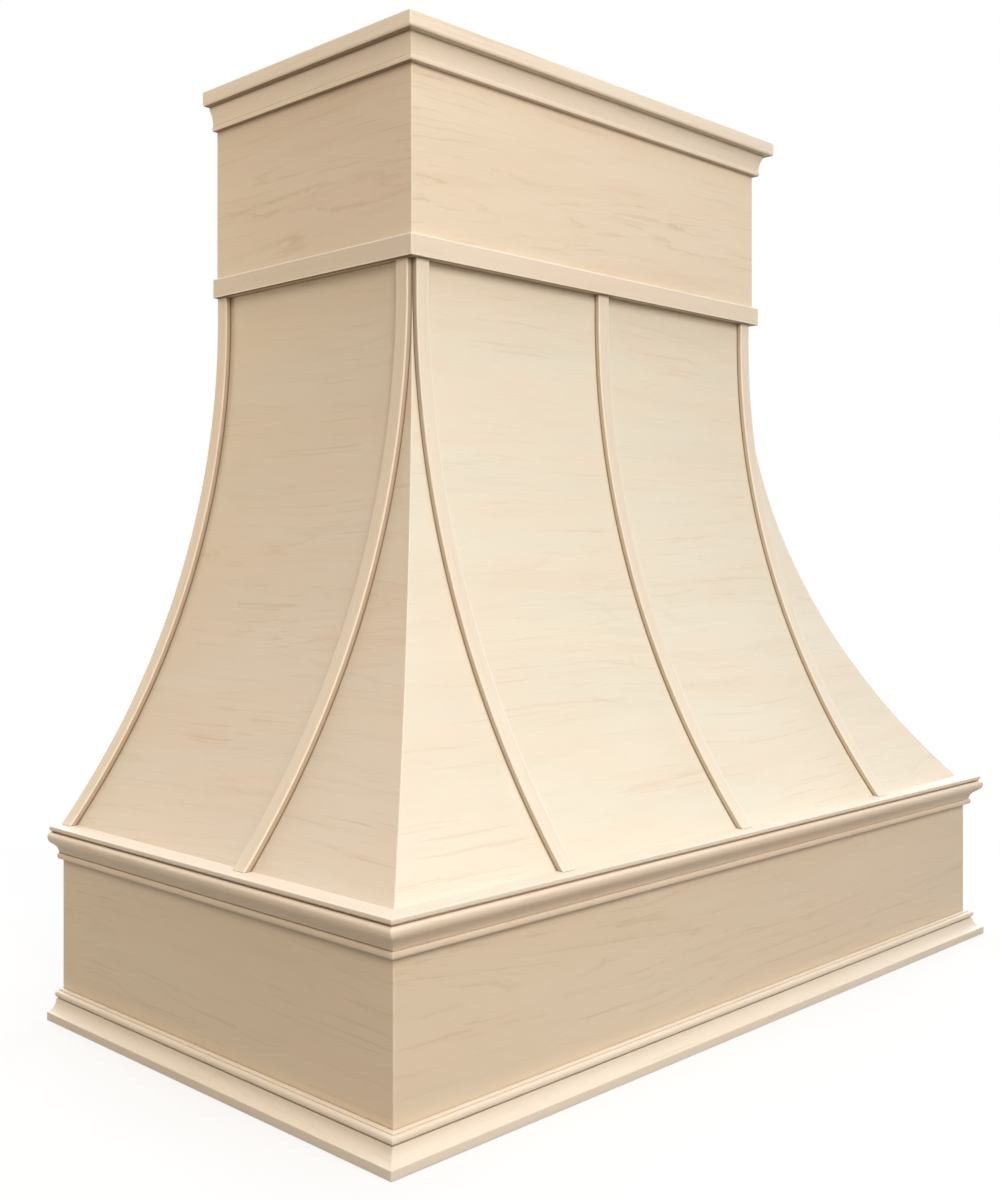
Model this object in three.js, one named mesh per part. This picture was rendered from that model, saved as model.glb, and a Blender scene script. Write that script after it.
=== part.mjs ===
// Curved wooden range hood cover for a wall: crowned chimney box, flared body with straps,
// and a straight apron between two mouldings. Open at the back, at the top and underneath,
// so that a duct and a hood liner fit inside.
//
// Units are millimetres, +Z is up. The wall side faces +Y and the room side faces -Y.
// The origin is on the floor plane of the base moulding, in the middle of the footprint.
//
// Most pieces are a section drawn as (out, z): "out" is the distance outwards from the
// apron's outer faces, so it is negative inside the object, and z is the real height.
// The same section runs along the front and, mitred at the corner, back along each side.
import * as THREE from "three";

// ---- Driving dimensions -------------------------------------------------------------
const APRON_WIDTH = 914.4; // 36 in, face to face
const APRON_DEPTH = 495.3; // 19.5 in, wall to front face
const TOTAL_HEIGHT = 955;
const CHIMNEY_SETBACK = 181; // chimney faces behind the apron faces, at front and sides
const LEDGE_TOP = 190.5;
const BELT_BOTTOM = 735;

const CLEARANCE = 0.3; // left between pieces that touch
const MITRE_SETBACK = CLEARANCE / Math.SQRT2; // along the run, on each side of a mitre

const PANEL = 12.7; // chimney and apron panels, 1/2 in
const SKIN = 6.35; // bent body skins, 1/4 in
const FRAME = 18; // frame stock

const CROWN_HEIGHT = 40;
const CROWN_PROJECTION = 18.5;
const BELT_HEIGHT = 20.5;
const BELT_PROJECTION = 5.2;
const EASED_EDGE = 1;
const LEDGE_THICKNESS = 5.5;
const LEDGE_PROJECTION = 15;
const LEDGE_INNER = -84;
const LEDGE_CHAMFER = 2.2;
const APRON_MOULDING_HEIGHT = 28;
const BASE_HEIGHT = 28;
const BASE_PROJECTION = 17.5;

const STRAP_WIDTH = 16;
const STRAP_THICKNESS = 6.4;
const STRAP_CORNER_SETBACK = STRAP_THICKNESS + CLEARANCE;

const SKIN_FOOT = -6; // the skin's outer face where it meets the ledge
const STRAIGHT_LEAD = 24; // upright stretch of the body under the belt
const ARC_STEPS = 36;

const RIB_DEPTH = 45;
const FRONT_RIB_SPACING = 180;
const SIDE_RIB_FROM_WALL = 174;
const HIP_RIB_DEPTH = 60;
const TOP_RAIL_HEIGHT = 50;
const MID_RAIL_HEIGHT = 60;
const DECK_RAIL_WIDTH = 70;
const WALL_RAIL_HEIGHT = 90;
const CORNER_BLOCK = 30;
const APRON_BLOCK = 38;
const LINER_CLEAT_WIDTH = 38;
const LINER_CLEAT_BOTTOM = 20;

// ---- Places worked out from them ----------------------------------------------------
const HALF_WIDTH = APRON_WIDTH / 2;
const FOOTPRINT_DEPTH = APRON_DEPTH + BASE_PROJECTION;
const WALL_Y = FOOTPRINT_DEPTH / 2;
const FRONT_Y = WALL_Y - APRON_DEPTH; // the apron's front face
const CHIMNEY_FACE = -CHIMNEY_SETBACK;
const CHIMNEY_INNER = CHIMNEY_FACE - PANEL - CLEARANCE;
const SKIN_TOP = CHIMNEY_FACE - STRAP_THICKNESS - CLEARANCE; // skin's outer face at the belt
const BODY_INNER = SKIN_TOP - SKIN - CLEARANCE;
const BODY_TOP = BELT_BOTTOM - CLEARANCE;
const BODY_BOTTOM = LEDGE_TOP + CLEARANCE;
const ARC_TOP = BELT_BOTTOM - STRAIGHT_LEAD;
const ARC_HEIGHT = ARC_TOP - LEDGE_TOP;
const ARC_REACH = SKIN_FOOT - SKIN_TOP;
const ARC_RADIUS = (ARC_HEIGHT ** 2 + ARC_REACH ** 2) / (2 * ARC_REACH);
const UNDER_LEDGE = LEDGE_TOP - LEDGE_THICKNESS - CLEARANCE;
const DECK_BOTTOM = UNDER_LEDGE - FRAME;
const MID_RAIL_BOTTOM = BELT_BOTTOM - MID_RAIL_HEIGHT / 2;
const MID_RAIL_TOP = MID_RAIL_BOTTOM + MID_RAIL_HEIGHT;
const TOP_RAIL_BOTTOM = TOTAL_HEIGHT - TOP_RAIL_HEIGHT;
const APRON_INNER = -PANEL - CLEARANCE;

const hood = new THREE.Group();

// ---- Materials ----------------------------------------------------------------------
const maplePanel = new THREE.MeshStandardMaterial({ color: 0xe8d5b8, roughness: 0.55, metalness: 0 });
const mapleTrim = new THREE.MeshStandardMaterial({ color: 0xe9d7bb, roughness: 0.5, metalness: 0 });
const frameWood = new THREE.MeshStandardMaterial({ color: 0xd6bf99, roughness: 0.7, metalness: 0 });

// ---- Helpers ------------------------------------------------------------------------
function signedVolume(geometry) {
  const index = geometry.index;
  const position = geometry.attributes.position;
  const count = index ? index.count : position.count;
  const corners = [new THREE.Vector3(), new THREE.Vector3(), new THREE.Vector3()];
  let volume = 0;
  for (let i = 0; i < count; i += 3) {
    corners.forEach((corner, k) => corner.fromBufferAttribute(position, index ? index.getX(i + k) : i + k));
    volume += corners[0].dot(corners[1].clone().cross(corners[2])) / 6;
  }
  return volume;
}

function turnedOutwards(geometry) {
  const flat = geometry.index ? geometry.toNonIndexed() : geometry;
  if (signedVolume(flat) < 0) {
    const xyz = flat.attributes.position.array;
    for (let i = 0; i < xyz.length; i += 9) {
      for (let k = 0; k < 3; k += 1) {
        [xyz[i + 3 + k], xyz[i + 6 + k]] = [xyz[i + 6 + k], xyz[i + 3 + k]];
      }
    }
  }
  flat.deleteAttribute("uv");
  flat.computeVertexNormals();
  return flat;
}

function addPiece(name, geometry, material) {
  const mesh = new THREE.Mesh(turnedOutwards(geometry), material);
  mesh.name = name;
  hood.add(mesh);
}

// Extrudes a section over t = 0..1 and puts each of its points where place(out, z, t) says.
function placedSection(section, place) {
  const geometry = new THREE.ExtrudeGeometry(section, { depth: 1, steps: 1, bevelEnabled: false, curveSegments: 8 });
  const position = geometry.attributes.position;
  for (let i = 0; i < position.count; i += 1) {
    const point = place(position.getX(i), position.getY(i), position.getZ(i));
    position.setXYZ(i, point.x, point.y, point.z);
  }
  return geometry;
}

// A run across the front, mitred at both corners.
function frontRun(section) {
  return placedSection(section, (out, z, t) => {
    const reach = HALF_WIDTH + out - MITRE_SETBACK;
    return new THREE.Vector3(reach * (2 * t - 1), FRONT_Y - out, z);
  });
}

// A run along one side (-1 left, 1 right), mitred at the front and square at the wall.
function sideRun(section, side) {
  return placedSection(section, (out, z, t) => {
    const front = FRONT_Y - out + MITRE_SETBACK;
    return new THREE.Vector3(side * (HALF_WIDTH + out), front + (WALL_Y - front) * t, z);
  });
}

// The same section as three pieces: left, front and right.
function addThreeRuns(name, section, material) {
  addPiece(`${name}_left`, sideRun(section, -1), material);
  addPiece(`${name}_front`, frontRun(section), material);
  addPiece(`${name}_right`, sideRun(section, 1), material);
}

// A rectangle in (out, z).
function rectangle(outFrom, outTo, zFrom, zTo) {
  return new THREE.Shape([
    new THREE.Vector2(outFrom, zFrom),
    new THREE.Vector2(outTo, zFrom),
    new THREE.Vector2(outTo, zTo),
    new THREE.Vector2(outFrom, zTo),
  ]);
}

// A square-edged board between two corners.
function addBoard(name, [x0, y0, z0], [x1, y1, z1]) {
  const geometry = new THREE.BoxGeometry(x1 - x0, y1 - y0, z1 - z0);
  geometry.translate((x0 + x1) / 2, (y0 + y1) / 2, (z0 + z1) / 2);
  addPiece(name, geometry, frameWood);
}

// A closed solid through rings of points, each ring convex and in the same order.
function loft(rings) {
  const size = rings[0].length;
  const last = rings.length - 1;
  const triangles = [];
  for (let k = 1; k < size - 1; k += 1) {
    triangles.push(rings[0][0], rings[0][k + 1], rings[0][k]);
    triangles.push(rings[last][0], rings[last][k], rings[last][k + 1]);
  }
  for (let i = 0; i < last; i += 1) {
    for (let k = 0; k < size; k += 1) {
      const next = (k + 1) % size;
      triangles.push(rings[i][k], rings[i][next], rings[i + 1][next]);
      triangles.push(rings[i][k], rings[i + 1][next], rings[i + 1][k]);
    }
  }
  return new THREE.BufferGeometry().setFromPoints(triangles);
}

// ---- The body's curve ---------------------------------------------------------------
// Points (out, z) down the body, "lift" outwards from the skin's outer face: upright under
// the belt, then an arc about a centre out in the room, so that parallel curves share it.
function bodyCurve(lift, top, bottom) {
  const radius = ARC_RADIUS - lift;
  const centreOut = SKIN_TOP + ARC_RADIUS;
  const onArc = (angle) => new THREE.Vector2(centreOut - radius * Math.cos(angle), ARC_TOP - radius * Math.sin(angle));
  const angleAt = (z) => Math.asin((ARC_TOP - z) / radius);
  const first = Math.max(0, angleAt(top));
  const last = angleAt(bottom);
  const points = [];
  if (top > ARC_TOP) {
    points.push(new THREE.Vector2(SKIN_TOP + lift, top));
  }
  for (let i = 0; i <= ARC_STEPS; i += 1) {
    points.push(onArc(first + ((last - first) * i) / ARC_STEPS));
  }
  return points;
}

// A layer of the body between two lifts, cut level at top and bottom.
function bodyLayer(outerLift, innerLift, top, bottom) {
  const outer = bodyCurve(outerLift, top, bottom);
  const inner = bodyCurve(innerLift, top, bottom).reverse();
  return new THREE.Shape([...outer, ...inner]);
}

// ---- Mouldings and bands ------------------------------------------------------------
// Each starts and ends on its back, which clears the panel that it is fixed to.

// Flat fascia with a rounded lower edge, a small step, a shallow cove and a bottom bead.
function crownSection() {
  const back = CHIMNEY_FACE + CLEARANCE;
  const fasciaOut = CHIMNEY_FACE + CROWN_PROJECTION;
  const fasciaBottom = TOTAL_HEIGHT - 15.5;
  const fasciaRadius = 3;
  const stepOut = CHIMNEY_FACE + 10;
  const coveTop = fasciaBottom - 2.3;
  const coveOut = CHIMNEY_FACE + 5.4;
  const bottom = TOTAL_HEIGHT - CROWN_HEIGHT;
  const coveBottom = bottom + 5.2;
  const beadOut = coveOut + 1;
  const beadRadius = 1.8;
  const section = new THREE.Shape();
  section.moveTo(back, TOTAL_HEIGHT);
  section.lineTo(fasciaOut, TOTAL_HEIGHT);
  section.lineTo(fasciaOut, fasciaBottom + fasciaRadius);
  section.quadraticCurveTo(fasciaOut, fasciaBottom, fasciaOut - fasciaRadius, fasciaBottom);
  section.lineTo(stepOut, fasciaBottom);
  section.lineTo(stepOut, coveTop);
  section.quadraticCurveTo(coveOut, (coveTop + coveBottom) / 2, coveOut, coveBottom);
  section.quadraticCurveTo(beadOut, coveBottom, beadOut, coveBottom - beadRadius);
  section.lineTo(beadOut, bottom + beadRadius);
  section.quadraticCurveTo(beadOut, bottom, beadOut - beadRadius, bottom);
  section.lineTo(back, bottom);
  return section;
}

// Flat band whose two outer edges are eased.
function beltSection() {
  const back = CHIMNEY_FACE + CLEARANCE;
  const out = CHIMNEY_FACE + BELT_PROJECTION;
  const top = BELT_BOTTOM + BELT_HEIGHT;
  const section = new THREE.Shape();
  section.moveTo(back, BELT_BOTTOM);
  section.lineTo(out - EASED_EDGE, BELT_BOTTOM);
  section.quadraticCurveTo(out, BELT_BOTTOM, out, BELT_BOTTOM + EASED_EDGE);
  section.lineTo(out, top - EASED_EDGE);
  section.quadraticCurveTo(out, top, out - EASED_EDGE, top);
  section.lineTo(back, top);
  return section;
}

// Thin shelf round the body's foot, its lower front edge cut back to make a shadow line.
function ledgeSection() {
  const bottom = LEDGE_TOP - LEDGE_THICKNESS;
  return new THREE.Shape([
    new THREE.Vector2(LEDGE_INNER, bottom),
    new THREE.Vector2(LEDGE_PROJECTION - LEDGE_CHAMFER, bottom),
    new THREE.Vector2(LEDGE_PROJECTION, bottom + LEDGE_CHAMFER),
    new THREE.Vector2(LEDGE_PROJECTION, LEDGE_TOP),
    new THREE.Vector2(LEDGE_INNER, LEDGE_TOP),
  ]);
}

// Bulge at the top, sweeping into a cove, with a small bead under it.
function apronMouldingSection() {
  const top = UNDER_LEDGE;
  const bottom = top - APRON_MOULDING_HEIGHT;
  const bulgeOut = 17.2;
  const bulgeTopOut = 12.4;
  const bulgeZ = top - 4.6; // where the bulge stands out furthest
  const turnOut = 11.8; // where the bulge turns into the cove
  const turnZ = top - 12;
  const coveOut = 4.7;
  const coveBottom = top - 21.8;
  const beadOut = 6.6;
  const beadZ = top - 24.6;
  const section = new THREE.Shape();
  section.moveTo(CLEARANCE, top);
  section.lineTo(bulgeTopOut, top);
  section.bezierCurveTo(bulgeTopOut + 3, top, bulgeOut, bulgeZ + 2.6, bulgeOut, bulgeZ);
  section.bezierCurveTo(bulgeOut, bulgeZ - 3.8, turnOut + 2.8, turnZ + 1.7, turnOut, turnZ);
  section.bezierCurveTo(turnOut - 3.8, turnZ - 2.3, coveOut + 0.5, coveBottom + 4.6, coveOut, coveBottom);
  section.quadraticCurveTo(beadOut, coveBottom, beadOut, beadZ);
  section.quadraticCurveTo(beadOut, bottom, beadOut / 2, bottom);
  section.lineTo(CLEARANCE, bottom);
  return section;
}

// Square foot, cove, groove, bead and a thin step on top.
function baseSection() {
  const footTop = 8.3;
  const footEase = 0.9;
  const coveOut = 7.4;
  const coveTop = 19.6;
  const grooveOut = 6.2;
  const beadBottom = 20.9;
  const beadOut = 9;
  const beadTop = 26.8;
  const beadZ = (beadBottom + beadTop) / 2;
  const stepOut = 4.6;
  const section = new THREE.Shape();
  section.moveTo(CLEARANCE, 0);
  section.lineTo(BASE_PROJECTION, 0);
  section.lineTo(BASE_PROJECTION, footTop - footEase);
  section.quadraticCurveTo(BASE_PROJECTION, footTop, BASE_PROJECTION - footEase, footTop);
  section.bezierCurveTo(12, footTop + 1, coveOut + 0.6, 13, coveOut, coveTop);
  section.lineTo(grooveOut, coveTop);
  section.lineTo(grooveOut, beadBottom);
  section.quadraticCurveTo(beadOut, beadBottom, beadOut, beadZ);
  section.quadraticCurveTo(beadOut, beadTop, grooveOut, beadTop);
  section.lineTo(stepOut, beadTop);
  section.lineTo(stepOut, BASE_HEIGHT);
  section.lineTo(CLEARANCE, BASE_HEIGHT);
  return section;
}

// ---- Visible casing -----------------------------------------------------------------
function addMouldings() {
  addThreeRuns("crown", crownSection(), mapleTrim);
  addThreeRuns("belt", beltSection(), mapleTrim);
  addThreeRuns("ledge", ledgeSection(), mapleTrim);
  addThreeRuns("apron_moulding", apronMouldingSection(), mapleTrim);
  addThreeRuns("base_moulding", baseSection(), mapleTrim);
}

function addPanels() {
  const chimney = rectangle(CHIMNEY_FACE - PANEL, CHIMNEY_FACE, BELT_BOTTOM, TOTAL_HEIGHT);
  addThreeRuns("chimney_panel", chimney, maplePanel);
  addThreeRuns("apron_panel", rectangle(-PANEL, 0, 0, UNDER_LEDGE), maplePanel);
  addThreeRuns("body_skin", bodyLayer(0, -SKIN, BODY_TOP, BODY_BOTTOM), maplePanel);
}

// A strap bent over the skin: its section, with eased outer edges, follows the body's curve.
// place(across, out, z) puts a point that lies "across" the strap from its centre line.
function strap(place) {
  const half = STRAP_WIDTH / 2;
  const back = CLEARANCE;
  const face = CLEARANCE + STRAP_THICKNESS;
  const corners = [
    [-half, back],
    [half, back],
    [half, face - EASED_EDGE],
    [half - EASED_EDGE, face],
    [EASED_EDGE - half, face],
    [-half, face - EASED_EDGE],
  ];
  const lines = corners.map(([across, lift]) => bodyCurve(lift, BODY_TOP, BODY_BOTTOM)
    .map((point) => place(across, point.x, point.y)));
  const rings = lines[0].map((_, i) => lines.map((line) => line[i]));
  return loft(rings);
}

function addStraps() {
  const chimneyHalf = HALF_WIDTH - CHIMNEY_SETBACK;
  const cornerStrap = STRAP_CORNER_SETBACK + STRAP_WIDTH / 2;
  const frontStraps = { left: cornerStrap - chimneyHalf, centre: 0, right: chimneyHalf - cornerStrap };
  for (const [name, x] of Object.entries(frontStraps)) {
    const place = (across, out, z) => new THREE.Vector3(x + across, FRONT_Y - out, z);
    addPiece(`strap_front_${name}`, strap(place), mapleTrim);
  }
  const sideStraps = { near: FRONT_Y + CHIMNEY_SETBACK + cornerStrap, wall: WALL_Y - STRAP_WIDTH / 2 };
  for (const [sideName, side] of [["left", -1], ["right", 1]]) {
    for (const [name, y] of Object.entries(sideStraps)) {
      const place = (across, out, z) => new THREE.Vector3(side * (HALF_WIDTH + out), y + across, z);
      addPiece(`strap_${sideName}_${name}`, strap(place), mapleTrim);
    }
  }
}

// ---- Frame inside -------------------------------------------------------------------
// Curved ribs behind the skins, cut level where they stand between the ledge and the mid rails.
function addRibs() {
  const outerLift = -SKIN - CLEARANCE;
  const top = MID_RAIL_BOTTOM - CLEARANCE;
  const outline = bodyLayer(outerLift, outerLift - RIB_DEPTH, top, BODY_BOTTOM);
  const frontRibs = { left: -FRONT_RIB_SPACING, centre: 0, right: FRONT_RIB_SPACING };
  for (const [name, x] of Object.entries(frontRibs)) {
    const place = (out, z, t) => new THREE.Vector3(x + FRAME * (t - 0.5), FRONT_Y - out, z);
    addPiece(`rib_front_${name}`, placedSection(outline, place), frameWood);
  }
  const sideRibs = { middle: WALL_Y - SIDE_RIB_FROM_WALL, wall: WALL_Y - FRAME / 2 };
  for (const [sideName, side] of [["left", -1], ["right", 1]]) {
    for (const [name, y] of Object.entries(sideRibs)) {
      const place = (out, z, t) => new THREE.Vector3(side * (HALF_WIDTH + out), y + FRAME * (t - 0.5), z);
      addPiece(`rib_${sideName}_${name}`, placedSection(outline, place), frameWood);
    }
  }
}

// Ribs under the body's two mitred corners. In plan each is a bar on the diagonal whose
// outer end is planed to a right angle, to back both skins.
function addHipRibs() {
  const half = FRAME / 2;
  const curve = bodyCurve(-SKIN - CLEARANCE, MID_RAIL_BOTTOM - CLEARANCE, BODY_BOTTOM);
  const outline = [[0, 0], [-half, half], [-HIP_RIB_DEPTH, half], [-HIP_RIB_DEPTH, -half], [-half, -half]];
  for (const [sideName, side] of [["left", -1], ["right", 1]]) {
    const rings = curve.map(({ x: out, y: z }) => outline.map(([along, across]) => {
      const outwards = out + along / Math.SQRT2;
      const sideways = across / Math.SQRT2;
      const x = side * (HALF_WIDTH + outwards + sideways);
      return new THREE.Vector3(x, FRONT_Y - outwards + sideways, z);
    }));
    addPiece(`hip_rib_${sideName}`, loft(rings), frameWood);
  }
}

// Four rails on edge inside a box whose inner faces are at "inner" and whose back is the wall.
function addRailRing(name, inner, bottom, top) {
  const halfInside = HALF_WIDTH + inner;
  const front = FRONT_Y - inner;
  const halfBetween = halfInside - FRAME - CLEARANCE;
  addBoard(`${name}_left`, [-halfInside, front, bottom], [FRAME - halfInside, WALL_Y, top]);
  addBoard(`${name}_right`, [halfInside - FRAME, front, bottom], [halfInside, WALL_Y, top]);
  addBoard(`${name}_front`, [-halfBetween, front, bottom], [halfBetween, front + FRAME, top]);
  addBoard(`${name}_wall`, [-halfBetween, WALL_Y - FRAME, bottom], [halfBetween, WALL_Y, top]);
}

// Upright blocks in the front corners of a box whose inner faces are at "inner".
function addCornerBlocks(name, inner, size, bottom, top) {
  const halfInside = HALF_WIDTH + inner;
  const front = FRONT_Y - inner;
  addBoard(`${name}_left`, [-halfInside, front, bottom], [size - halfInside, front + size, top]);
  addBoard(`${name}_right`, [halfInside - size, front, bottom], [halfInside, front + size, top]);
}

// Flat rails under the ledge and, below them, the rail that is screwed to the wall.
function addDeck() {
  const inner = APRON_INNER - DECK_RAIL_WIDTH;
  addThreeRuns("deck_rail", rectangle(inner, APRON_INNER, DECK_BOTTOM, UNDER_LEDGE), frameWood);
  const halfInside = HALF_WIDTH + APRON_INNER;
  const top = DECK_BOTTOM - CLEARANCE;
  addBoard("wall_rail", [-halfInside, WALL_Y - FRAME, top - WALL_RAIL_HEIGHT], [halfInside, WALL_Y, top]);
}

// Flat cleats round the inside of the apron, for the flange of the hood liner.
function addLinerCleats() {
  const inner = APRON_INNER - LINER_CLEAT_WIDTH;
  const top = LINER_CLEAT_BOTTOM + FRAME;
  addThreeRuns("liner_cleat", rectangle(inner, APRON_INNER, LINER_CLEAT_BOTTOM, top), frameWood);
  addCornerBlocks("apron_block", APRON_INNER, APRON_BLOCK, top + CLEARANCE, DECK_BOTTOM - CLEARANCE);
}

addMouldings();
addPanels();
addStraps();
addRibs();
addHipRibs();
addRailRing("top_rail", CHIMNEY_INNER, TOP_RAIL_BOTTOM, TOTAL_HEIGHT);
addRailRing("mid_rail", BODY_INNER, MID_RAIL_BOTTOM, MID_RAIL_TOP);
addCornerBlocks("chimney_block", CHIMNEY_INNER, CORNER_BLOCK, MID_RAIL_TOP + CLEARANCE, TOP_RAIL_BOTTOM - CLEARANCE);
addDeck();
addLinerCleats();

export default hood;
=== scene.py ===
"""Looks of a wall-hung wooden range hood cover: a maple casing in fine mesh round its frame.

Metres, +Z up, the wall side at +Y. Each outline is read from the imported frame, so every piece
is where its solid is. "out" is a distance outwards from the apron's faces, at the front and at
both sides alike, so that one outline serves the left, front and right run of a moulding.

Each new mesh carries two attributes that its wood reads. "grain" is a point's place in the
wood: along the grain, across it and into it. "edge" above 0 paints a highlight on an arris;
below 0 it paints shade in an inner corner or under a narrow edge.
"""

import math
from functools import partial
from itertools import accumulate, count
from typing import NamedTuple

import bpy
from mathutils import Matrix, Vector


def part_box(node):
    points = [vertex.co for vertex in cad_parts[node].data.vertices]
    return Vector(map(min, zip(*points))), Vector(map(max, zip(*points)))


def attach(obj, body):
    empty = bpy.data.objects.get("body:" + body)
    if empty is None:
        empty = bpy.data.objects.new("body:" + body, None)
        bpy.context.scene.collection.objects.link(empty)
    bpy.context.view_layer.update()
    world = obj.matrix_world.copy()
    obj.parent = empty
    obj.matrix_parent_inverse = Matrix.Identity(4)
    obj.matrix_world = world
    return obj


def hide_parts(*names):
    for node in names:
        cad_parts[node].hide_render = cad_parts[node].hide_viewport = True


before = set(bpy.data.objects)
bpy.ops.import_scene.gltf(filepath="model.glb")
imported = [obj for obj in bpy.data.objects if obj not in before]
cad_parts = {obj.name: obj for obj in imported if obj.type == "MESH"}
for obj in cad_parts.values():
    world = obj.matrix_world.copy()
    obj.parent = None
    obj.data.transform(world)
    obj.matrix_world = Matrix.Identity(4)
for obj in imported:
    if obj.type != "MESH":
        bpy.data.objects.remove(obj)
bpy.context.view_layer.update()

HALF_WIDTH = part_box("apron_panel_right")[1].x
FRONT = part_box("apron_panel_front")[0].y
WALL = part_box("apron_panel_left")[1].y

SAME = 1e-6  # two places nearer than this are the same place
DECIMALS = 6  # kept of a place in an outline
SHARP_TURN = math.radians(35)  # a corner that turns further than this is sharp

ARRIS_STEPS = 4  # straight pieces in a rounded arris
ARRIS_SHARE = 0.45  # a rounded arris takes at most this share of the sides beside it
QUIRK = 0.0008  # how far the painted shade line of an inner corner reaches to each side
HIGHLIGHT_REACH = 0.0008  # how far the painted highlight of an arris reaches to each side
SHORT = 0.0003  # a side of the outline that is shorter than this belongs to an arris
OVERHANG = 0.008  # an underside no wider than this gets painted shade
FACING_DOWN = 0.95  # of its length, an underside runs at least this much outwards

CORNER = 0.0011  # radius of the upright corners, where two runs meet in a mitre
CORNER_STEPS = 3  # straight pieces in each run's half of a corner
MITRE = math.radians(45)
MITRE_HAIR = 0.00002  # each run stops this short of the mitre
MITRE_SHINE = 0.35  # the painted highlight on the upright corners, as an edge value
SAWN_LEVEL = 0.9  # a face of a panel whose normal is this upright is a sawn edge

STRAP_ARRIS = 0.0011  # radius of a strap's two outer edges
STRAP_STEPS = 60  # straight pieces along a strap's bend
STRAP_SIDE = -0.50  # the edge value of a strap's sides: painted shade
STRAP_FOOT = 0.0020  # height of the painted shade line where a strap's side meets the skin
FRONT_ARRISES = 0.15, 1.0  # the painted highlights on a front strap's arrises, left and right, as edge values
SIDE_ARRISES = 0.30, 0.20  # those of a side strap, towards the front and towards the wall
FLARE_POINTS = 0, 10, 20  # points of the skin's outline that its circle is drawn through

WELD = 0.00001  # corners of an inner board nearer than this are joined before it is eased
FLAT = math.radians(0.5)  # faces of an inner board that differ less than this become one
BOARD_EDGE = 0.0012  # how far the edges of the inner boards are cut back

SEED_STEP = Vector((3.17, 1.31, 0.73))  # in the wood, from each piece to the next
piece_numbers = count(1)


class RoundingAndPaintedLight(NamedTuple):
    """How the edges of one outline are rounded, and the painted highlight and shade on them. All but
    the radius are edge values.
    """
    radius: float  # of the rounded arrises
    arris: float  # painted highlight on a rounded arris
    underside: float  # negative: painted shade on a narrow underside
    quirk: float  # negative: painted shade line in an inner corner

    def on_side(self, side):
        """The edge value in the middle of one side of an anticlockwise outline: painted shade on a
        narrow underside, else 0.
        """
        faces_down = side.x > FACING_DOWN * side.length
        return self.underside if faces_down and side.length < OVERHANG else 0.0

    def on_arris(self, tangent):
        """The edge value of an arris: a painted highlight, going over to painted shade where it
        turns under.
        """
        under = max(0.0, 2 * tangent.normalized().x - 1)
        return self.arris + (self.underside - self.arris) * under


ROUNDING_AND_PAINTED_LIGHT = {
    "crown": RoundingAndPaintedLight(0.0012, 0.60, -0.60, -0.5),
    "belt": RoundingAndPaintedLight(0.0012, 1.0, -0.95, -1.0),
    "ledge": RoundingAndPaintedLight(0.0009, 0.60, -0.30, -1.0),
    "apron_moulding": RoundingAndPaintedLight(0.0009, 0.15, -0.50, -0.8),
    "base_moulding": RoundingAndPaintedLight(0.0009, 0.30, -0.50, -0.6),
}


# ---- Outlines --------------------------------------------------------------------------
def sides_of(points):
    """Each side (start, end) of a closed line."""
    return zip(points, points[1:] + points[:1])


def border(faces):
    """The closed line round touching faces, made of the sides that only one of them has."""
    sides = set()
    for face in faces:
        for start, end in sides_of(face):
            if (end, start) in sides:
                sides.remove((end, start))
            else:
                sides.add((start, end))
    following = dict(sides)
    line = [min(following)]
    while following[line[-1]] != line[0]:
        line.append(following[line[-1]])
    return line


def wall_outline(node):
    """The outline (out, z) of a left-hand run, anticlockwise, from its square end at the wall."""
    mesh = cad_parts[node].data
    wall = max(vertex.co.y for vertex in mesh.vertices)
    faces = []
    for polygon in mesh.polygons:
        corners = [mesh.vertices[i].co for i in polygon.vertices]
        if all(abs(co.y - wall) <= SAME for co in corners):
            outs = [round(-co.x - HALF_WIDTH, DECIMALS) for co in corners]
            heights = [round(co.z, DECIMALS) for co in corners]
            faces.append(list(zip(outs, heights)))
    outline = [Vector(point) for point in border(faces)]
    area = sum(a.cross(b) for a, b in sides_of(outline))
    return outline if area > 0 else outline[::-1]


def direction(angle):
    return Vector((math.cos(angle), math.sin(angle)))


def turning(arriving, leaving):
    """The angle between two sides: above 0 at an outer corner of an anticlockwise outline."""
    return math.atan2(arriving.cross(leaving), arriving.dot(leaving))


def eased(outline, rounding_and_light):
    """The outline with its sharp outer corners rounded, as (point, edge) pairs.

    The flat back keeps its square corners.
    """
    back = min(point.x for point in outline)
    pairs = []
    for k, corner in enumerate(outline):
        arriving = corner - outline[k - 1]
        leaving = outline[(k + 1) % len(outline)] - corner
        turn = 0.0 if corner.x == back else turning(arriving, leaving)
        pairs += eased_corner(corner, arriving, leaving, turn, rounding_and_light)
    return pairs


def eased_corner(corner, arriving, leaving, turn, rounding_and_light):
    """The (point, edge) pairs that stand for one corner of an outline."""
    values = rounding_and_light.on_side(arriving), rounding_and_light.on_side(leaving)
    if turn < -SHARP_TURN:
        return between(corner, arriving, leaving, QUIRK, rounding_and_light.quirk, values)
    if turn > SHARP_TURN:
        return rounded(corner, arriving, leaving, rounding_and_light.radius, values, rounding_and_light.on_arris)
    if turn > 0 and min(arriving.length, leaving.length) < SHORT:
        edge = rounding_and_light.on_arris(arriving.normalized() + leaving.normalized())
        return between(corner, arriving, leaving, HIGHLIGHT_REACH, edge, values)
    return [(corner, min(values))]


def between(corner, arriving, leaving, reach, edge, values):
    """One point of an edge, with a point on each long side beside it where the edge ends."""
    pairs = [(corner, edge)]
    if arriving.length > 2 * reach:
        pairs.insert(0, (corner - arriving.normalized() * reach, values[0]))
    if leaving.length > 2 * reach:
        pairs.append((corner + leaving.normalized() * reach, values[1]))
    return pairs


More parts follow.
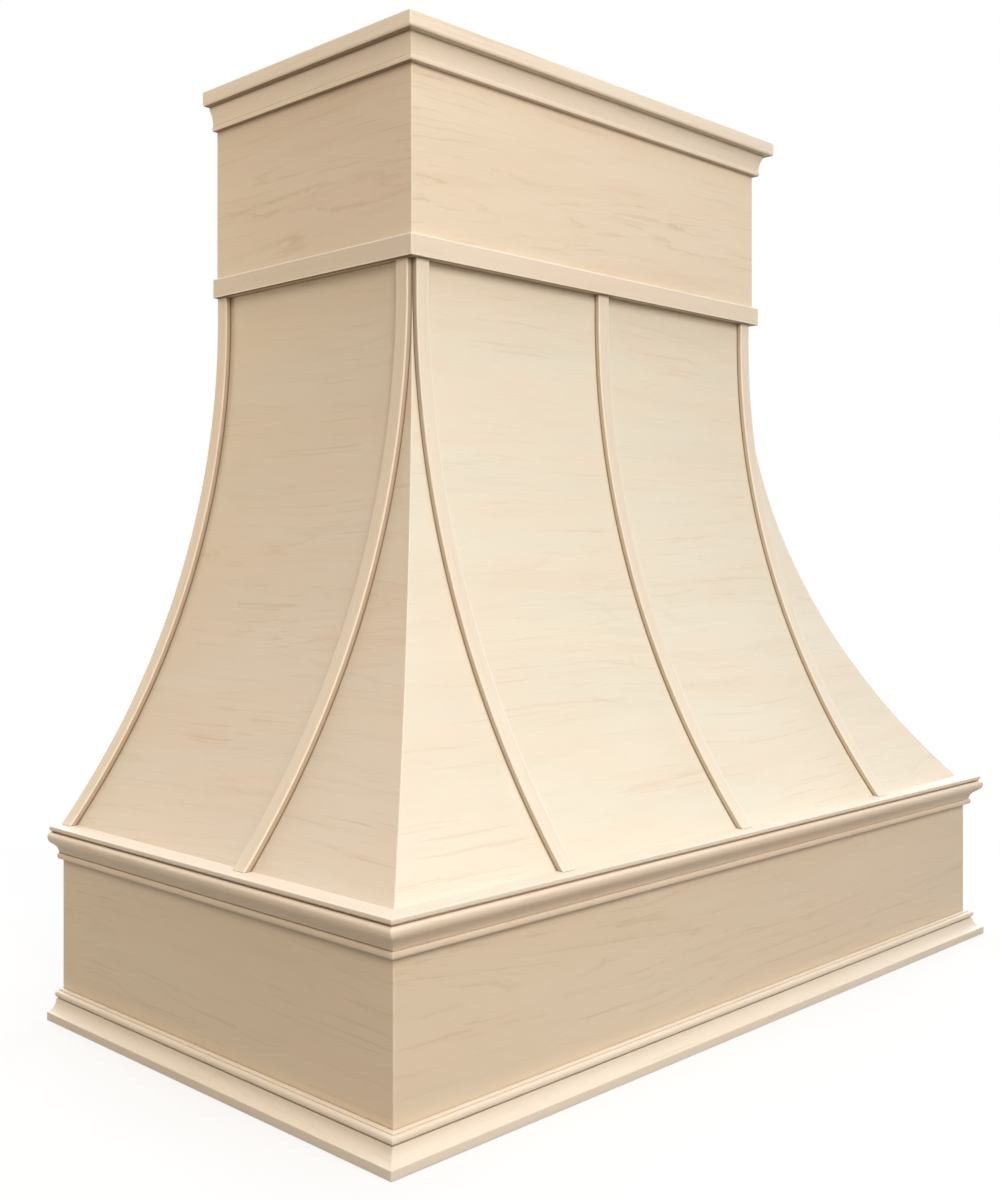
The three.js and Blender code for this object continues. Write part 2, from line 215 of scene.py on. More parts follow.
def rounded(corner, arriving, leaving, radius, values, shine):
    """A sharp outer corner as an arc whose edge values come from shine(tangent)."""
    turn = turning(arriving, leaving)
    room = ARRIS_SHARE * min(arriving.length, leaving.length)
    cut = min(radius * math.tan(turn / 2), room)
    step = turn / ARRIS_STEPS
    chord = 2 * cut / math.tan(turn / 2) * math.sin(step / 2)
    heading = math.atan2(arriving.y, arriving.x)
    point = corner - arriving.normalized() * cut
    pairs = [(point, shine(arriving))]
    if arriving.length > cut + 2 * HIGHLIGHT_REACH:
        pairs.insert(0, (point - arriving.normalized() * HIGHLIGHT_REACH, values[0]))
    for _ in range(ARRIS_STEPS):
        point = point + chord * direction(heading + step / 2)
        heading += step
        pairs.append((point, shine(direction(heading))))
    if leaving.length > cut + 2 * HIGHLIGHT_REACH:
        pairs.append((point + leaving.normalized() * HIGHLIGHT_REACH, values[1]))
    return pairs


def distances_along(points):
    """The distance from the first point to each point, along the outline."""
    steps = ((b - a).length for a, b in zip(points, points[1:]))
    return list(accumulate(steps, initial=0.0))


# ---- Meshes ----------------------------------------------------------------------------
def add_object(name, data):
    """Puts a mesh, a lamp or a camera in the scene."""
    made = bpy.data.objects.new(name, data)
    bpy.context.scene.collection.objects.link(made)
    return made


def tube_faces(rings):
    """The faces between each ring of points and the next, and a face over each end."""
    size = len(rings[0])
    last = (len(rings) - 1) * size
    faces = []
    for start in range(0, last, size):
        for k, follow in sides_of(list(range(start, start + size))):
            faces.append((k, follow, follow + size, k + size))
    faces.append(tuple(reversed(range(size))))
    faces.append(tuple(range(last, last + size)))
    return faces


def signed_cone(points, face):
    """Six times the signed volume between the origin and a face."""
    first = Vector(points[face[0]])
    return sum(
        first.dot(Vector(points[b]).cross(Vector(points[c]))) for b, c in zip(face[1:], face[2:])
    )


def facing_out(points, faces):
    """The faces of a closed mesh, all turned over if they face inwards."""
    if sum(signed_cone(points, face) for face in faces) < 0:
        return [tuple(reversed(face)) for face in faces]
    return faces


def add_attributes(mesh, grains, edges):
    """Gives each point its edge value and its place in the wood, which no other piece shares."""
    seed = SEED_STEP * next(piece_numbers)
    places = [number for grain in grains for number in Vector(grain) + seed]
    mesh.attributes.new("grain", "FLOAT_VECTOR", "POINT").data.foreach_set("vector", places)
    mesh.attributes.new("edge", "FLOAT", "POINT").data.foreach_set("value", edges)


def show_layers(mesh):
    """Gives a panel's second material to its sawn top, foot and ends."""
    for polygon in mesh.polygons:
        is_end = len(polygon.vertices) > 4
        if is_end or abs(polygon.normal.z) > SAWN_LEVEL:
            polygon.material_index = 1


def solid(name, rings, materials):
    """A closed mesh through rings of (place, grain, edge) points.

    The second material, if there is one, is that of the sawn edges.
    """
    places, grains, edges = zip(*(point for ring in rings for point in ring))
    mesh = bpy.data.meshes.new(name)
    mesh.from_pydata(places, [], facing_out(places, tube_faces(rings)))
    for material in materials:
        mesh.materials.append(material)
    add_attributes(mesh, grains, edges)
    if len(materials) > 1:
        show_layers(mesh)
    mesh.shade_smooth()
    mesh.set_sharp_from_angle(angle=SHARP_TURN)
    piece = add_object(name, mesh)
    piece.modifiers.new("normals", "WEIGHTED_NORMAL").keep_sharp = True
    return piece


def show(piece, node):
    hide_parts(node)
    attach(piece, "root")


# ---- Runs ------------------------------------------------------------------------------
# A station is a place along a run: a function of out that gives (x, y, edge). side is -1 for
# the left and 1 for the right. turn counts from the mitre (0) to the straight (CORNER_STEPS).
def front_station(side, turn, out):
    angle = MITRE * (1 - turn / CORNER_STEPS)
    hair = 0 if turn else MITRE_HAIR
    x = HALF_WIDTH + out - CORNER + CORNER * math.sin(angle)
    y = FRONT - out + CORNER * (1 - math.cos(angle))
    return side * (x - hair), y, float(turn < CORNER_STEPS)


def side_station(side, turn, out):
    angle = MITRE * (1 - turn / CORNER_STEPS)
    hair = 0 if turn else MITRE_HAIR
    x = HALF_WIDTH + out - CORNER * (1 - math.cos(angle))
    y = FRONT - out + CORNER * (1 - math.sin(angle))
    return side * x, y + hair, float(turn < CORNER_STEPS)


def wall_station(side, out):
    return side * (HALF_WIDTH + out), WALL, 0.0


def front_stations():
    """The stations of a front run, from its left mitre to its right mitre."""
    turns = range(CORNER_STEPS + 1)
    left = [partial(front_station, -1, turn) for turn in turns]
    right = [partial(front_station, 1, turn) for turn in reversed(turns)]
    return left + right


def side_stations(side):
    """The stations of a side run, from its mitre to the wall."""
    turns = range(CORNER_STEPS + 1)
    return [partial(side_station, side, turn) for turn in turns] + [partial(wall_station, side)]


def add_run(node, pairs, stations, slot, materials):
    """One run of a moulding or panel along the front or a side.

    A moulding is cut from solid wood. A panel's grain is a thin face laid round its outline.
    """
    on_front = node.endswith("front")
    is_panel = slot == "maple_panel"
    distances = distances_along([point for point, _ in pairs])
    rings = []
    for station in stations:
        ring = []
        for (point, edge), distance in zip(pairs, distances):
            x, y, corner = station(point.x)
            along = x if on_front else y
            grain = (along, distance, 0.0) if is_panel else (along, point.y, point.x)
            # painted highlight along the upright mitre corners; painted shade is kept as it is
            shown = edge if edge < 0 else max(edge, corner * MITRE_SHINE)
            ring.append(((x, y, point.y), grain, shown))
        rings.append(ring)
    show(solid(f"maple_{node}", rings, materials), node)


def add_runs(name, pairs, slot, front, sides):
    """The front run of one outline and its left and right runs, with the materials of each."""
    add_run(f"{name}_front", pairs, front_stations(), slot, front)
    add_run(f"{name}_left", pairs, side_stations(-1), slot, sides)
    add_run(f"{name}_right", pairs, side_stations(1), slot, sides)


def add_trim(name, front, sides):
    """The three runs of one moulding."""
    pairs = eased(wall_outline(f"{name}_left"), ROUNDING_AND_PAINTED_LIGHT[name])
    add_runs(name, pairs, "maple_trim", [front], [sides])


def add_panels(name, front, sides, foot=None):
    """The three panels of one outline, whose lowest edge goes down to the height foot."""
    outline = wall_outline(f"{name}_left")
    lowest = min(point.y for point in outline)
    if foot is not None:
        outline = [Vector((p.x, foot)) if p.y == lowest else p for p in outline]
    add_runs(name, [(point, 0.0) for point in outline], "maple_panel", front, sides)


# ---- Straps ----------------------------------------------------------------------------
def circle_through(a, b, c):
    """Centre and radius of the circle through three points of a plane."""
    d = 2 * (a.x * (b.y - c.y) + b.x * (c.y - a.y) + c.x * (a.y - b.y))
    squares = [p.length_squared for p in (a, b, c)]
    x = (squares[0] * (b.y - c.y) + squares[1] * (c.y - a.y) + squares[2] * (a.y - b.y)) / d
    y = (squares[0] * (c.x - b.x) + squares[1] * (a.x - c.x) + squares[2] * (b.x - a.x)) / d
    centre = Vector((x, y))
    return centre, (a - centre).length


class Flare:
    """The body's curve: upright at the top, then an arc down to the ledge."""

    def __init__(self):
        outline = wall_outline("body_skin_left")
        self.top = max(point.y for point in outline)
        self.bottom = min(point.y for point in outline)
        foot = max((p for p in outline if p.y < self.bottom + SAME), key=lambda p: p.x)
        at = outline.index(foot)
        outer = outline[at:] + outline[:at]
        self.centre, self.radius = circle_through(*(outer[k] for k in FLARE_POINTS))

    def line(self, lift):
        """Points (out, z) at a height above the skin, with the distance down to each."""
        radius = self.radius - lift
        last = math.asin((self.centre.y - self.bottom) / radius)
        places = [(Vector((self.centre.x - radius, self.top)), 0.0)]
        lead = self.top - self.centre.y
        for k in range(STRAP_STEPS + 1):
            angle = last * k / STRAP_STEPS
            places.append((self.centre - radius * direction(angle), lead + self.radius * angle))
        return places


def strap_lifts(node, flare):
    """Heights above the skin of the strap's back and face, read where the body is upright."""
    on_front = "front" in node
    upright = [v.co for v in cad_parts[node].data.vertices if v.co.z > flare.centre.y]
    outs = [FRONT - co.y if on_front else abs(co.x) - HALF_WIDTH for co in upright]
    skin = flare.centre.x - flare.radius
    return min(outs) - skin, max(outs) - skin


def strap_section(half, back, face, arrises):
    """A strap's section (across, height above the skin) as (point, edge) pairs.

    It has painted shade where it meets the skin and on its sides, and painted highlights on its
    arrises.
    """
    up = Vector((0, face - back))
    across = Vector((-2 * half, 0))
    sides = STRAP_SIDE, 0.0
    far, near = Vector((half, face)), Vector((-half, face))
    far_arc = rounded(far, up, across, STRAP_ARRIS, sides, lambda _: arrises[1])
    near_arc = rounded(near, across, -up, STRAP_ARRIS, sides[::-1], lambda _: arrises[0])
    start = [(Vector((x, back)), -1.0) for x in (-half, half)]
    feet = [(Vector((x, back + STRAP_FOOT)), STRAP_SIDE) for x in (-half, half)]
    return start + feet[1:] + far_arc + near_arc + feet[:1]


def add_strap(node, flare, material):
    """A strap bent over the skin, its two outer edges eased."""
    low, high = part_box(node)
    middle = (low + high) / 2
    on_front = "front" in node
    half = (high.x - low.x if on_front else high.y - low.y) / 2
    arrises = FRONT_ARRISES if on_front else SIDE_ARRISES
    section = strap_section(half, *strap_lifts(node, flare), arrises)
    rings = []
    for places in zip(*(flare.line(point.y) for point, _ in section)):
        ring = []
        for (point, edge), ((out, z), distance) in zip(section, places):
            if on_front:
                place = middle.x + point.x, FRONT - out, z
            else:
                place = math.copysign(HALF_WIDTH + out, middle.x), middle.y + point.x, z
            ring.append((place, (distance, point.x, point.y), edge))
        rings.append(ring)
    show(solid(f"maple_{node}", rings, [material]), node)


def add_straps(front, side):
    """All the straps, with the material of those on the front and of those on the sides."""
    flare = Flare()
    for node in sorted(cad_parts):
        if node.startswith("strap_"):
            add_strap(node, flare, front if "front" in node else side)


# ---- Nodes -----------------------------------------------------------------------------
MIX_INPUTS = 0, 6, 7  # a mix node's factor and the two colours that it mixes
MIX_RESULT = 2  # and its mixed colour
WHITE = (1, 1, 1, 1)


def fill(tree, node, inputs):
    """Links or sets each of the inputs, which are named or numbered."""
    for name, value in inputs.items():
        if isinstance(value, bpy.types.NodeSocket):
            tree.links.new(value, node.inputs[name])
        else:
            node.inputs[name].default_value = value


def add_node(tree, kind, inputs=None, **settings):
    made = tree.nodes.new(kind)
    for name, value in settings.items():
        setattr(made, name, value)
    fill(tree, made, inputs or {})
    return made


def new_material(name):
    material = bpy.data.materials.new(name)
    material.use_nodes = True
    tree = material.node_tree
    return material, tree, tree.nodes["Principled BSDF"]


def attribute(tree, name, output):
    return add_node(tree, "ShaderNodeAttribute", attribute_name=name).outputs[output]


def object_place(tree):
    return add_node(tree, "ShaderNodeTexCoord").outputs["Object"]


def maths(tree, operation, a, b=0.0):
    return add_node(tree, "ShaderNodeMath", {0: a, 1: b}, operation=operation).outputs[0]


def times(tree, a, b):
    return maths(tree, "MULTIPLY", a, b)


def plus(tree, first, *others):
    for other in others:
        first = maths(tree, "ADD", first, other)
    return first


def span(tree, value, start, end, low=0.0, high=1.0, smooth=True):
    """value taken from start..end to low..high."""
    inputs = {"Value": value, "From Min": start, "From Max": end, "To Min": low, "To Max": high}
    kind = "SMOOTHSTEP" if smooth else "LINEAR"
    return add_node(tree, "ShaderNodeMapRange", inputs, interpolation_type=kind).outputs["Result"]


def mixed(tree, factor, a, b):
    """A colour that goes from a to b as the factor goes from 0 to 1."""
    inputs = dict(zip(MIX_INPUTS, (factor, a, b)))
    return add_node(tree, "ShaderNodeMix", inputs, data_type="RGBA").outputs[MIX_RESULT]


def bump(tree, height, strength, distance):
    inputs = {"Height": height, "Strength": strength, "Distance": distance}
    return add_node(tree, "ShaderNodeBump", inputs).outputs[0]


class Field(NamedTuple):
    """A noise in the wood."""
    waves: tuple  # a metre: along the grain, across it and into it
    detail: float = 2.0
    low: float = 0.0  # a pattern made from the noise is absent below this level
    high: float = 1.0  # and full above this one
    roughness: float = 0.5


def noise(tree, place, field):
    scaled = add_node(tree, "ShaderNodeVectorMath", {0: place, 1: field.waves}, operation="MULTIPLY")
    inputs = {
        "Vector": scaled.outputs[0],
        "Scale": 1.0,
        "Detail": field.detail,
        "Roughness": field.roughness,
    }
    return add_node(tree, "ShaderNodeTexNoise", inputs).outputs["Fac"]


def pattern(tree, place, field):
    """The field's noise turned into patches of 1 on 0, with soft borders."""
    return span(tree, noise(tree, place, field), field.low, field.high)


def swing(tree, value, size):
    """A noise made to swing round 0, size apart at its extremes."""
    return times(tree, maths(tree, "SUBTRACT", value, 0.5), size)


# ---- Wood ------------------------------------------------------------------------------
TAN = (0.590, 0.405, 0.225, 1)  # of grain lines and rings
PAINTED_HIGHLIGHT = (1.000, 0.930, 0.815, 1)  # of the painted highlight on arrises
PAINTED_SHADE = (0.200, 0.126, 0.073, 1)  # of painted shade in corners and under edges

DRIFT = Field((1.7, 4, 4), 1.0)
DRIFT_SIZE = 0.08  # metres that the grain wanders in its slow waves
RIPPLE = Field((14, 30, 30), 1.0)
RIPPLE_SIZE = 0.005  # and in its quick ones
TINT = Field((5, 22, 22), 2.0, 0.35, 0.65)
BANDS = Field((1.6, 14, 14), 2.0, 0.35, 0.65)
BAND_STRENGTH = 0.07
FIBRE = Field((70, 1500, 1500))
FIBRE_STRENGTH = 0.14

LINES = Field((4.5, 240, 160), 4.0, 0.58, 0.66, 0.6)
LINE_STRENGTH = 0.24
LINE_PATCHES = Field((3, 16, 16), 2.0, 0.34, 0.58)
HALOS = Field((6, 75, 50), 3.0, 0.48, 0.72, 0.6)
HALO_STRENGTH = 0.08

CONTOURS = Field((1.1, 14, 14), 1.0)
RING_COUNT = 14.0  # rings between the lowest and the highest of the contours
JAGS = Field((26, 170, 170), 3.0)
JAG_SIZE = 0.55  # in rings
RING_LINE = 0.78, 0.96  # shares of a ring at which its dark line begins and is full
RING_END = 0.97, 1.0  # and at which it fades and is gone
RING_SHADE = 0.50, 0.96  # those of the faint shade before the line
SHADE_STRENGTH = 0.14  # of that shade, where the line's is 1
RING_STRENGTH = 0.30  # of both
RING_PATCHES = Field((2.6, 8, 8), 1.0, 0.48, 0.62)
RING_BREAKS = Field((9, 90, 60), 2.0, 0.38, 0.56)

# Corners: how far round to look, and how open they are where shade begins and where it is full.
TIGHT_CORNERS = 0.003, 0.70, 0.30
SOFT_HOLLOWS = 0.010, 0.75, 0.35
PLY_CORNERS = 0.012, 0.95, 0.60
CORNER_SAMPLES = 6
TIGHT_STRENGTH = 0.65
HIGHLIGHT_STRENGTH = 0.85

FIBRE_LEVELS = 0.3, 0.7  # levels of the fibre noise that give the two roughnesses
ROUGHNESSES = 0.44, 0.58
FIBRE_RELIEF = 0.12, 0.0003  # strength and depth

PLY = 0.0016  # thickness of one layer of plywood
PLY_WOBBLE = Field((30, 30, 30))
WOBBLE_SIZE = 0.0004
PLY_TURN = 0.2, 0.3  # where a pale layer goes over into a dark one, as shares of the two
PLY_DARK = 0.5  # strength of the dark layers
PLY_SPECKLE = Field((900, 900, 900))
SPECKLE_STRENGTH = 0.3
PLY_SHADE = 0.72  # strength of the shade between the panels
PLY_ROUGHNESS = 0.7
PLY_RELIEF = 0.3, 0.0005  # strength and depth


class Wood(NamedTuple):
    """The looks of one group of boards, all maple, with tones that also carry painted light."""
    tones: tuple  # the two colours that the ground wanders between
    lines: float  # strength of the broken grain lines
    rings: float  # strength of the pointed growth rings
    hollows: float = 0.1  # strength of the painted shade in the hollows of a moulding
    corners: float = 0.78  # strength of the painted shade lines in tight corners and under edges
    gloss: float = 0.35


# The tones are painted light as well as wood: each side group is a shaded or lit copy of its
# front group, the base is made paler as if lit by the floor, and the sides get stronger
# painted shade in hollows and corners.
WOODS = {
    "chimney_front": Wood(((0.872, 0.750, 0.586), (0.877, 0.735, 0.572)), 1.0, 0.85),
    "chimney_side": Wood(((0.822, 0.692, 0.541), (0.827, 0.678, 0.527)), 1.1, 0.95, 0.1, 1.1),
    "apron_front": Wood(((0.862, 0.739, 0.576), (0.867, 0.724, 0.562)), 0.95, 0.6),
    "apron_side": Wood(((0.862, 0.736, 0.572), (0.867, 0.721, 0.558)), 0.95, 0.6, 0.1, 1.1),
    "skin_front": Wood(((0.874, 0.812, 0.672), (0.890, 0.790, 0.643)), 0.65, 0.3),
    "skin_side": Wood(((0.788, 0.686, 0.546), (0.804, 0.668, 0.522)), 1.15, 0.45, 0.1, 1.1),
    "crown_front": Wood(((0.920, 0.818, 0.676), (0.924, 0.803, 0.660)), 0.7, 0.35, 0.25),
    "crown_side": Wood(((0.966, 0.838, 0.686), (0.970, 0.824, 0.671)), 0.8, 0.35, 0.35, 1.5),
    "belt_front": Wood(((0.876, 0.756, 0.613), (0.880, 0.741, 0.598)), 0.8, 0.35),
    "belt_side": Wood(((0.797, 0.682, 0.553), (0.801, 0.669, 0.538)), 0.8, 0.35, 0.1, 1.1),
    "ledge": Wood(((0.892, 0.782, 0.655), (0.896, 0.767, 0.640)), 0.6, 0.3),
    "moulding_front": Wood(((0.892, 0.766, 0.618), (0.896, 0.750, 0.602)), 0.7, 0.35, 0.17),
    "moulding_side": Wood(((0.906, 0.779, 0.629), (0.910, 0.763, 0.612)), 0.7, 0.35, 0.75, 1.2),
    "base": Wood(((0.962, 0.866, 0.738), (0.962, 0.852, 0.718)), 0.6, 0.3),
    "strap_front": Wood(((0.895, 0.797, 0.662), (0.885, 0.782, 0.644)), 0.6, 0.3, 0.1, 1.0),
    "strap_side": Wood(((0.872, 0.745, 0.592), (0.866, 0.732, 0.576)), 0.7, 0.3, 0.1, 1.0),
}
FRAME_WOOD = Wood(((0.890, 0.746, 0.570), (0.895, 0.730, 0.556)), 1.6, 1.6, gloss=0.2)


def board_grain(tree, axis):
    """Wood coordinates of an inner board whose grain runs along x, y or z."""
    parts = add_node(tree, "ShaderNodeSeparateXYZ", {"Vector": object_place(tree)}).outputs
    order = axis + "xyz".replace(axis, "")
    inputs = {to: parts[name.upper()] for to, name in zip("XYZ", order)}
    return add_node(tree, "ShaderNodeCombineXYZ", inputs).outputs[0]


def warped(tree, grain):
    """Wood coordinates whose grain wanders a little across its length."""
    drift = swing(tree, noise(tree, grain, DRIFT), DRIFT_SIZE)
    ripple = swing(tree, noise(tree, grain, RIPPLE), RIPPLE_SIZE)
    total = plus(tree, drift, ripple)
    offset = add_node(tree, "ShaderNodeCombineXYZ", {"Y": total, "Z": total}).outputs[0]
    return add_node(tree, "ShaderNodeVectorMath", {0: grain, 1: offset}, operation="ADD").outputs[0]


def fine_lines(tree, wavy):
    """Short broken lines along the grain, over softer and wider tints."""
    crisp = times(tree, pattern(tree, wavy, LINES), pattern(tree, wavy, LINE_PATCHES))
    halos = times(tree, pattern(tree, wavy, HALOS), HALO_STRENGTH)
    return plus(tree, times(tree, crisp, LINE_STRENGTH), halos)


def growth_rings(tree, wavy):
    """Rings cut at a slant: thin pointed contours in a few patches, sharp on one side."""
    contours = times(tree, noise(tree, wavy, CONTOURS), RING_COUNT)
    jags = times(tree, noise(tree, wavy, JAGS), JAG_SIZE)
    ring = maths(tree, "FRACT", plus(tree, contours, jags))
    line = times(tree, span(tree, ring, *RING_LINE), span(tree, ring, *RING_END, 1.0, 0.0))
    shade = times(tree, span(tree, ring, *RING_SHADE), SHADE_STRENGTH)
    both = times(tree, plus(tree, line, shade), RING_STRENGTH)
    shown = times(tree, pattern(tree, wavy, RING_PATCHES), pattern(tree, wavy, RING_BREAKS))
    return times(tree, both, shown)


def near_corners(tree, reach, start, end):
    """1 deep in a corner or under an edge, falling to 0 on open faces."""
    inputs = {"Distance": reach}
    sky = add_node(tree, "ShaderNodeAmbientOcclusion", inputs, samples=CORNER_SAMPLES)
    return span(tree, sky.outputs["AO"], start, end)


def with_painted_light(tree, colour, wood):
    """The colour with a painted highlight on arrises, and painted shade in corners and under edges.
    """
    edge = attribute(tree, "edge", "Fac")
    highlight = maths(tree, "MAXIMUM", edge, 0.0)
    colour = mixed(tree, times(tree, highlight, HIGHLIGHT_STRENGTH), colour, PAINTED_HIGHLIGHT)
    quirk = times(tree, edge, -wood.corners)
    # painted shade from how closed in each point is
    tight = times(tree, near_corners(tree, *TIGHT_CORNERS), TIGHT_STRENGTH * wood.corners)
    soft = times(tree, near_corners(tree, *SOFT_HOLLOWS), wood.hollows)
    recess = times(tree, maths(tree, "MAXIMUM", tight, soft), maths(tree, "SUBTRACT", 1.0, highlight))
    return mixed(tree, maths(tree, "MAXIMUM", recess, quirk), colour, PAINTED_SHADE)


def maple(name, wood, axis=None):
    """Sanded maple: fine broken lines, a few pointed rings, painted shade in corners and painted
    highlights on edges.

    The grain follows the piece's own attribute, or else the x, y or z axis.
    """
    material, tree, shader = new_material(f"maple_{name}")
    grain = board_grain(tree, axis) if axis else attribute(tree, "grain", "Vector")
    wavy = warped(tree, grain)
    lines = times(tree, fine_lines(tree, wavy), wood.lines)
    rings = times(tree, growth_rings(tree, wavy), wood.rings)
    bands = times(tree, pattern(tree, wavy, BANDS), BAND_STRENGTH)
    fibre = noise(tree, wavy, FIBRE)
    figure = plus(tree, lines, rings, bands, swing(tree, fibre, FIBRE_STRENGTH))
    first, second = [(*tone, 1) for tone in wood.tones]
    ground = mixed(tree, pattern(tree, wavy, TINT), first, second)
    relief = maths(tree, "SUBTRACT", fibre, lines)
    fill(tree, shader, {
        "Base Color": with_painted_light(tree, mixed(tree, figure, ground, TAN), wood),
        "Roughness": span(tree, fibre, *FIBRE_LEVELS, *ROUGHNESSES, smooth=False),
        "Normal": bump(tree, relief, *FIBRE_RELIEF),
        "Specular IOR Level": wood.gloss,
    })
    return material


def ply_edge():
    """Sawn plywood edge: thin layers, every other one end grain and darker, with painted shade where
    it is tucked between the panels.
    """
    material, tree, shader = new_material("ply_edge")
    place = object_place(tree)
    grain = attribute(tree, "grain", "Vector")
    depth = add_node(tree, "ShaderNodeSeparateXYZ", {"Vector": grain}).outputs["Y"]
    wobble = times(tree, noise(tree, place, PLY_WOBBLE), WOBBLE_SIZE)
    layers = maths(tree, "DIVIDE", plus(tree, depth, wobble), 2 * PLY)
    there_and_back = maths(tree, "PINGPONG", maths(tree, "FRACT", layers), 0.5)
    dark = times(tree, span(tree, there_and_back, *PLY_TURN), PLY_DARK)
    speckle = noise(tree, place, PLY_SPECKLE)
    figure = plus(tree, dark, times(tree, speckle, SPECKLE_STRENGTH))
    sawn = mixed(tree, figure, (*FRAME_WOOD.tones[0], 1), TAN)
    hidden = times(tree, near_corners(tree, *PLY_CORNERS), PLY_SHADE)
    fill(tree, shader, {
        "Base Color": mixed(tree, hidden, sawn, PAINTED_SHADE),
        "Roughness": PLY_ROUGHNESS,
        "Normal": bump(tree, speckle, *PLY_RELIEF),
    })
    return material


# ---- Inner boards ----------------------------------------------------------------------
def soften(board):
    """Eases the sharp edges of an inner board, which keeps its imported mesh."""
    weld = board.modifiers.new("weld", "WELD")
    weld.merge_threshold = WELD
    flat = board.modifiers.new("flat", "DECIMATE")
    flat.decimate_type = "DISSOLVE"
    flat.angle_limit = FLAT
    bevel = board.modifiers.new("bevel", "BEVEL")
    bevel.width = BOARD_EDGE
    bevel.segments = 2
    bevel.limit_method = "ANGLE"
    bevel.angle_limit = SHARP_TURN


def finish_boards():
    """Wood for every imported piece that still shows, its grain along the longest side."""
    stock = {axis: maple(f"frame_{axis}", FRAME_WOOD, axis) for axis in "xyz"}
    for node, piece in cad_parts.items():
        if piece.hide_render:
            continue
        low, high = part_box(node)
        longest = max(range(3), key=lambda k: (high - low)[k])
        piece.data.materials.clear()
        piece.data.materials.append(stock["xyz"[longest]])
        soften(piece)


# ---- Stage -----------------------------------------------------------------------------
IMAGE_HEIGHT = 1200
FOCAL_PIXELS = 1405.45
HORIZON_ROW = 556.46
SENSOR = 36  # millimetres
CAMERA_AZIMUTH = math.radians(45.571)
CAMERA_PLACE = Vector((-1.1499, -1.0291, 0.4559))
LEVEL = math.radians(90)

ROOM = (1.18, 1.0, 0.76)
WARM = (1.11, 1.0, 0.86)
COOL = (0.90, 1.0, 1.13)
CLEAR = (0.98, 1.0, 1.05)
DOME_LIGHT = 0.10  # strength of the light from all round

FLOOR_HALF = 14
FLOOR_HEIGHT = -0.0004
FLOOR_BOUNCE = (0.315, 0.288, 0.252, 1)  # the colour that lights the object from below
FLOOR_SEEN = (0.26, 0.255, 0.25, 1)  # the one that takes the shadow
GLOW_REACH = 0.8, 4.0  # distances from the object at which the floor's glow is least and most
GLOW = 0.74, 1.0


class Lamp(NamedTuple):
    name: str
    place: tuple
    aim: tuple
    size: float  # metres
    power: float  # watts
    colour: tuple


MIDDLE = (0, 0, 0.45)
LAMPS = [
    Lamp("overhead", (0.0, -0.3, 3.0), MIDDLE, 2.4, 42, COOL),
    Lamp("high_front", (-0.15, -2.0, 1.7), (0, 0, 0.7), 1.4, 12.6, CLEAR),
    Lamp("corner", (-1.9, -2.3, 2.0), MIDDLE, 1.6, 55.5, WARM),
    Lamp("left_back", (-0.9, 0.85, 0.55), (-HALF_WIDTH, WALL, 0.45), 0.5, 1.25, ROOM),
    Lamp("wall_glow", (-0.55, 0.55, 0.82), (-0.28, 0.2, 0.80), 0.3, 0.24, ROOM),
    Lamp("far_side", (3.2, 0.5, 1.4), MIDDLE, 1.6, 40, COOL),
    Lamp("behind", (0.4, 3.0, 1.6), MIDDLE, 1.8, 40, COOL),
]


def add_camera():
    """A level camera, shifted so that the horizon is on the photo's row."""
    data = bpy.data.cameras.new("camera")
    data.sensor_width = SENSOR
    data.lens = FOCAL_PIXELS / IMAGE_HEIGHT * SENSOR
    data.shift_y = (HORIZON_ROW - IMAGE_HEIGHT / 2) / IMAGE_HEIGHT
    camera = add_object("camera", data)
    camera.location = CAMERA_PLACE
    camera.rotation_euler = (LEVEL, 0, -CAMERA_AZIMUTH)
    bpy.context.scene.camera = camera


def background_only(tree):
    """1 for rays from the camera or off a gloss, and 0 for light on the object."""
    path = add_node(tree, "ShaderNodeLightPath").outputs
    seen = maths(tree, "MAXIMUM", path["Is Camera Ray"], path["Is Glossy Ray"])
    return maths(tree, "MAXIMUM", seen, path["Is Transmission Ray"])


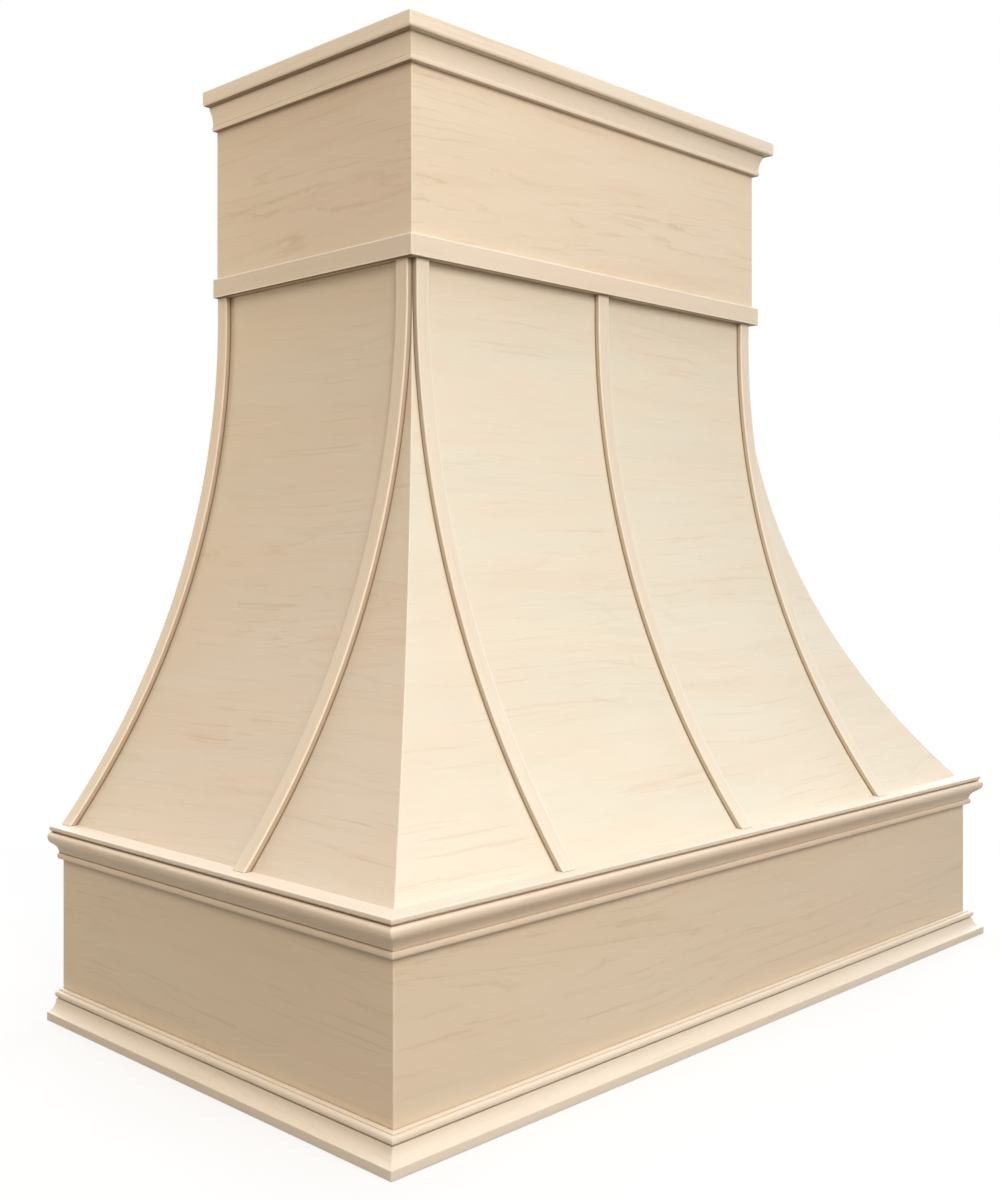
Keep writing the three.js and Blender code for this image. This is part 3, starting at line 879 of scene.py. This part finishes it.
def add_floor():
    """A pale floor that keeps a soft shadow and meets the white background far away."""
    material, tree, shader = new_material("floor")
    seen = background_only(tree)
    inputs = {0: object_place(tree)}
    distance = add_node(tree, "ShaderNodeVectorMath", inputs, operation="LENGTH").outputs["Value"]
    glow = span(tree, distance, *GLOW_REACH, *GLOW)
    fill(tree, shader, {
        "Base Color": mixed(tree, seen, FLOOR_BOUNCE, FLOOR_SEEN),
        "Roughness": 1.0,
        "Specular IOR Level": 0.0,
        "Emission Color": WHITE,
        "Emission Strength": times(tree, seen, glow),
    })
    mesh = bpy.data.meshes.new("floor")
    corners = [(-1, -1), (1, -1), (1, 1), (-1, 1)]
    points = [(x * FLOOR_HALF, y * FLOOR_HALF, FLOOR_HEIGHT) for x, y in corners]
    mesh.from_pydata(points, [], [(0, 1, 2, 3)])
    mesh.materials.append(material)
    add_object("floor", mesh)


def add_world():
    """A warm dome that lights the object, and plain white behind it."""
    world = bpy.data.worlds.new("studio")
    world.use_nodes = True
    tree = world.node_tree
    seen = background_only(tree)
    fill(tree, tree.nodes["Background"], {
        "Color": mixed(tree, seen, (*ROOM, 1), WHITE),
        "Strength": span(tree, seen, 0.0, 1.0, DOME_LIGHT, 1.0, smooth=False),
    })
    bpy.context.scene.world = world


def add_softbox(lamp):
    data = bpy.data.lights.new(lamp.name, "AREA")
    data.shape = "SQUARE"
    data.size = lamp.size
    data.energy = lamp.power
    data.color = lamp.colour
    light = add_object(lamp.name, data)
    light.location = lamp.place
    towards = Vector(lamp.aim) - Vector(lamp.place)
    light.rotation_euler = towards.to_track_quat("-Z", "Y").to_euler()


# ---- Assembly --------------------------------------------------------------------------
def add_casing():
    """The mouldings, panels, skins and straps, in place of their solids."""
    woods = {name: maple(name, wood) for name, wood in WOODS.items()}
    layers = ply_edge()
    add_trim("crown", woods["crown_front"], woods["crown_side"])
    add_trim("belt", woods["belt_front"], woods["belt_side"])
    add_trim("ledge", woods["ledge"], woods["ledge"])
    add_trim("apron_moulding", woods["moulding_front"], woods["moulding_side"])
    add_trim("base_moulding", woods["base"], woods["base"])
    ledge_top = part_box("ledge_front")[1].z
    add_panels("chimney_panel", [woods["chimney_front"], layers], [woods["chimney_side"], layers])
    add_panels("apron_panel", [woods["apron_front"], layers], [woods["apron_side"], layers])
    add_panels("body_skin", [woods["skin_front"], layers], [woods["skin_side"], layers], ledge_top)
    add_straps(woods["strap_front"], woods["strap_side"])


add_casing()
finish_boards()
add_camera()
add_floor()
add_world()
for lamp in LAMPS:
    add_softbox(lamp)

bpy.context.scene.view_settings.view_transform = "Standard"
